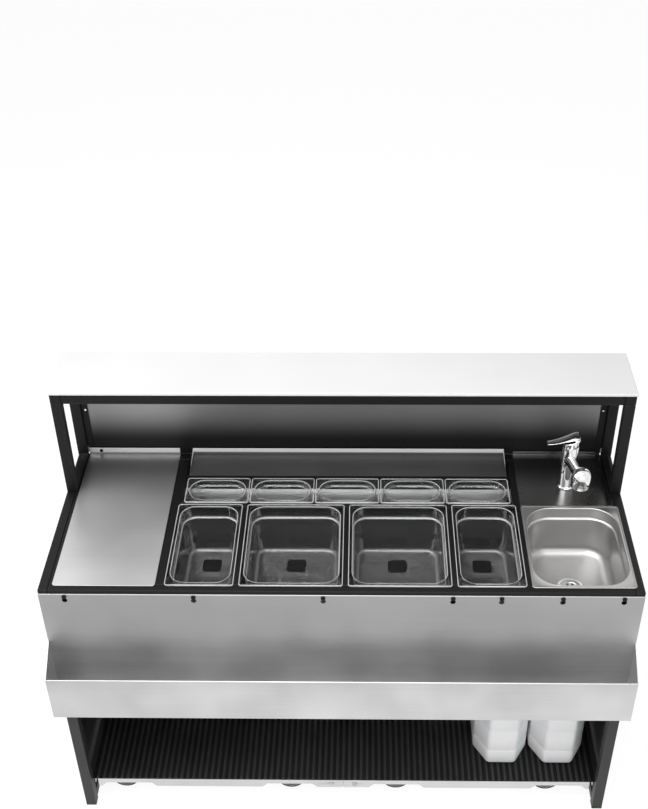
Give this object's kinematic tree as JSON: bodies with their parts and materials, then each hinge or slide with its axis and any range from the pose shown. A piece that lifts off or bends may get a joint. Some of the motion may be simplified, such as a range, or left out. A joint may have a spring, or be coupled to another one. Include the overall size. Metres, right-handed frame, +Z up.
{
  "type": "portable bar",
  "caption": "Free-standing bartender's station with a raised white counter, stainless worktop, clear food pans, sink with lever tap, hung bottle rail and castor base shelf.",
  "frame": {"origin": "middle of the bar's footprint, bottle rail included, on the floor", "axes": "+X along the width to the bartender's right, +Y from the bartender towards the customers, +Z up"},
  "size_m": [1.536, 0.68, 1.216],
  "materials": {
    "black_frame": "matte powder coat",
    "infill_black": "matte powder coat",
    "dark_panel": "dark brushed satin",
    "brushed_stainless": "brushed along the width",
    "rail_stainless": "brushed along the width",
    "tray_stainless": "mill finish",
    "sink_stainless": "satin pressed",
    "deck_black": "dark gloss coat",
    "chrome": "polished",
    "zinc_steel": "zinc plated",
    "clear_pan": "clear, glossy",
    "white_board": "smooth white",
    "black_rubber": "matte ribbed",
    "castor_rubber": "matte",
    "black_plastic": "matte",
    "white_can": "translucent, blow moulded",
    "white_cap": "ribbed"
  },
  "bodies": {
    "base": {"left_side_frame": "black_frame", "right_side_frame": "black_frame", "left_side_panel": "infill_black", "right_side_panel": "infill_black", "foot_glides": "black_plastic", "worktop_rails": "black_frame", "worktop_cross_bars": "black_frame", "work_plate": "brushed_stainless", "garnish_shelf": "brushed_stainless", "pan_trough": "brushed_stainless", "tap_deck": "deck_black", "sink_bowl": "sink_stainless", "sink_drain": "chrome", "tap_body": "chrome", "tap_aerator": "black_plastic", "tap_fixing_nut": "zinc_steel", "rail_screws": "zinc_steel", "shelf_tray_left": "tray_stainless", "shelf_tray_right": "tray_stainless", "shelf_mat": "black_rubber", "tray_link_plates": "zinc_steel", "tray_bolts": "zinc_steel", "corner_brackets": "zinc_steel", "lower_back_panel": "dark_panel", "rigid_castor_forks": "zinc_steel", "swivel_castor_plates": "zinc_steel"},
    "counter": {"counter_frame": "black_frame", "counter_gussets": "black_frame", "counter_top": "white_board", "upper_back_panel": "dark_panel"},
    "speed_rail": {"speed_rail": "rail_stainless"},
    "pan_third_left": {"pan_third_left": "clear_pan"},
    "pan_half_left": {"pan_half_left": "clear_pan"},
    "pan_half_right": {"pan_half_right": "clear_pan"},
    "pan_third_right": {"pan_third_right": "clear_pan"},
    "pan_ninth_1": {"pan_ninth_1": "clear_pan"},
    "pan_ninth_2": {"pan_ninth_2": "clear_pan"},
    "pan_ninth_3": {"pan_ninth_3": "clear_pan"},
    "pan_ninth_4": {"pan_ninth_4": "clear_pan"},
    "pan_ninth_5": {"pan_ninth_5": "clear_pan"},
    "tap_cap": {"tap_cap": "chrome"},
    "tap_lever": {"tap_lever": "chrome"},
    "fresh_water_can": {"fresh_water_can": "white_can"},
    "fresh_water_cap": {"fresh_water_cap": "white_cap"},
    "waste_water_can": {"waste_water_can": "white_can"},
    "waste_water_cap": {"waste_water_cap": "white_cap"},
    "castor_fork_front_left": {"castor_fork_front_left": "zinc_steel"},
    "wheel_rigid_front_left": {"wheel_rigid_front_left": "castor_rubber"},
    "wheel_swivel_front_left": {"wheel_swivel_front_left": "castor_rubber"},
    "castor_fork_front_right": {"castor_fork_front_right": "zinc_steel"},
    "wheel_rigid_front_right": {"wheel_rigid_front_right": "castor_rubber"},
    "wheel_swivel_front_right": {"wheel_swivel_front_right": "castor_rubber"},
    "castor_fork_rear_left": {"castor_fork_rear_left": "zinc_steel"},
    "wheel_rigid_rear_left": {"wheel_rigid_rear_left": "castor_rubber"},
    "wheel_swivel_rear_left": {"wheel_swivel_rear_left": "castor_rubber"},
    "castor_fork_rear_right": {"castor_fork_rear_right": "zinc_steel"},
    "wheel_rigid_rear_right": {"wheel_rigid_rear_right": "castor_rubber"},
    "wheel_swivel_rear_right": {"wheel_swivel_rear_right": "castor_rubber"}
  },
  "joints": [
    {"name": "counter_lift", "type": "slide", "parent": "base", "child": "counter", "axis": [0, 0, 1], "range_m": [0, 0.12]},
    {"name": "speed_rail_lift", "type": "slide", "parent": "base", "child": "speed_rail", "axis": [0, 0, 1], "range_m": [0, 0.012]},
    {"name": "pan_third_left_lift", "type": "slide", "parent": "base", "child": "pan_third_left", "axis": [0, 0, 1], "range_m": [0, 0.2]},
    {"name": "pan_half_left_lift", "type": "slide", "parent": "base", "child": "pan_half_left", "axis": [0, 0, 1], "range_m": [0, 0.2]},
    {"name": "pan_half_right_lift", "type": "slide", "parent": "base", "child": "pan_half_right", "axis": [0, 0, 1], "range_m": [0, 0.2]},
    {"name": "pan_third_right_lift", "type": "slide", "parent": "base", "child": "pan_third_right", "axis": [0, 0, 1], "range_m": [0, 0.2]},
    {"name": "pan_ninth_1_lift", "type": "slide", "parent": "base", "child": "pan_ninth_1", "axis": [0, 0, 1], "range_m": [0, 0.12]},
    {"name": "pan_ninth_2_lift", "type": "slide", "parent": "base", "child": "pan_ninth_2", "axis": [0, 0, 1], "range_m": [0, 0.12]},
    {"name": "pan_ninth_3_lift", "type": "slide", "parent": "base", "child": "pan_ninth_3", "axis": [0, 0, 1], "range_m": [0, 0.12]},
    {"name": "pan_ninth_4_lift", "type": "slide", "parent": "base", "child": "pan_ninth_4", "axis": [0, 0, 1], "range_m": [0, 0.12]},
    {"name": "pan_ninth_5_lift", "type": "slide", "parent": "base", "child": "pan_ninth_5", "axis": [0, 0, 1], "range_m": [0, 0.12]},
    {"name": "tap_turn", "type": "hinge", "parent": "base", "child": "tap_cap", "pos_m": [0.6205, 0.187, 1.0183], "axis": [0, 0, 1], "range_deg": [0, 100]},
    {"name": "tap_tilt", "type": "hinge", "parent": "tap_cap", "child": "tap_lever", "pos_m": [0.6355, 0.187, 1.04007], "axis": [0, 1, 0], "range_deg": [0, 25]},
    {"name": "castor_swivel_front_left", "type": "hinge", "parent": "base", "child": "castor_fork_front_left", "pos_m": [-0.632, -0.168, 0.091], "axis": [0, 0, 1], "continuous": true},
    {"name": "swivel_wheel_spin_front_left", "type": "hinge", "parent": "castor_fork_front_left", "child": "wheel_swivel_front_left", "pos_m": [-0.657, -0.168, 0.0407], "axis": [0, 1, 0], "continuous": true},
    {"name": "rigid_wheel_spin_front_left", "type": "hinge", "parent": "base", "child": "wheel_rigid_front_left", "pos_m": [-0.157, -0.168, 0.0407], "axis": [0, 1, 0], "continuous": true},
    {"name": "castor_swivel_front_right", "type": "hinge", "parent": "base", "child": "castor_fork_front_right", "pos_m": [0.632, -0.168, 0.091], "axis": [0, 0, 1], "continuous": true},
    {"name": "swivel_wheel_spin_front_right", "type": "hinge", "parent": "castor_fork_front_right", "child": "wheel_swivel_front_right", "pos_m": [0.607, -0.168, 0.0407], "axis": [0, 1, 0], "continuous": true},
    {"name": "rigid_wheel_spin_front_right", "type": "hinge", "parent": "base", "child": "wheel_rigid_front_right", "pos_m": [0.157, -0.168, 0.0407], "axis": [0, 1, 0], "continuous": true},
    {"name": "castor_swivel_rear_left", "type": "hinge", "parent": "base", "child": "castor_fork_rear_left", "pos_m": [-0.632, 0.258, 0.091], "axis": [0, 0, 1], "continuous": true},
    {"name": "swivel_wheel_spin_rear_left", "type": "hinge", "parent": "castor_fork_rear_left", "child": "wheel_swivel_rear_left", "pos_m": [-0.657, 0.258, 0.0407], "axis": [0, 1, 0], "continuous": true},
    {"name": "rigid_wheel_spin_rear_left", "type": "hinge", "parent": "base", "child": "wheel_rigid_rear_left", "pos_m": [-0.157, 0.258, 0.0407], "axis": [0, 1, 0], "continuous": true},
    {"name": "castor_swivel_rear_right", "type": "hinge", "parent": "base", "child": "castor_fork_rear_right", "pos_m": [0.632, 0.258, 0.091], "axis": [0, 0, 1], "continuous": true},
    {"name": "swivel_wheel_spin_rear_right", "type": "hinge", "parent": "castor_fork_rear_right", "child": "wheel_swivel_rear_right", "pos_m": [0.607, 0.258, 0.0407], "axis": [0, 1, 0], "continuous": true},
    {"name": "rigid_wheel_spin_rear_right", "type": "hinge", "parent": "base", "child": "wheel_rigid_rear_right", "pos_m": [0.157, 0.258, 0.0407], "axis": [0, 1, 0], "continuous": true},
    {"name": "fresh_water_can_pull", "type": "slide", "parent": "base", "child": "fresh_water_can", "axis": [0, -1, 0], "range_m": [0, 0.35]},
    {"name": "fresh_water_cap_turn", "type": "hinge", "parent": "fresh_water_can", "child": "fresh_water_cap", "pos_m": [0.466, -0.126, 0.3983], "axis": [0, 0, 1], "range_deg": [0, 540]},
    {"name": "waste_water_can_pull", "type": "slide", "parent": "base", "child": "waste_water_can", "axis": [0, -1, 0], "range_m": [0, 0.35]},
    {"name": "waste_water_cap_turn", "type": "hinge", "parent": "waste_water_can", "child": "waste_water_cap", "pos_m": [0.632, -0.126, 0.3983], "axis": [0, 0, 1], "range_deg": [0, 540]}
  ]
}
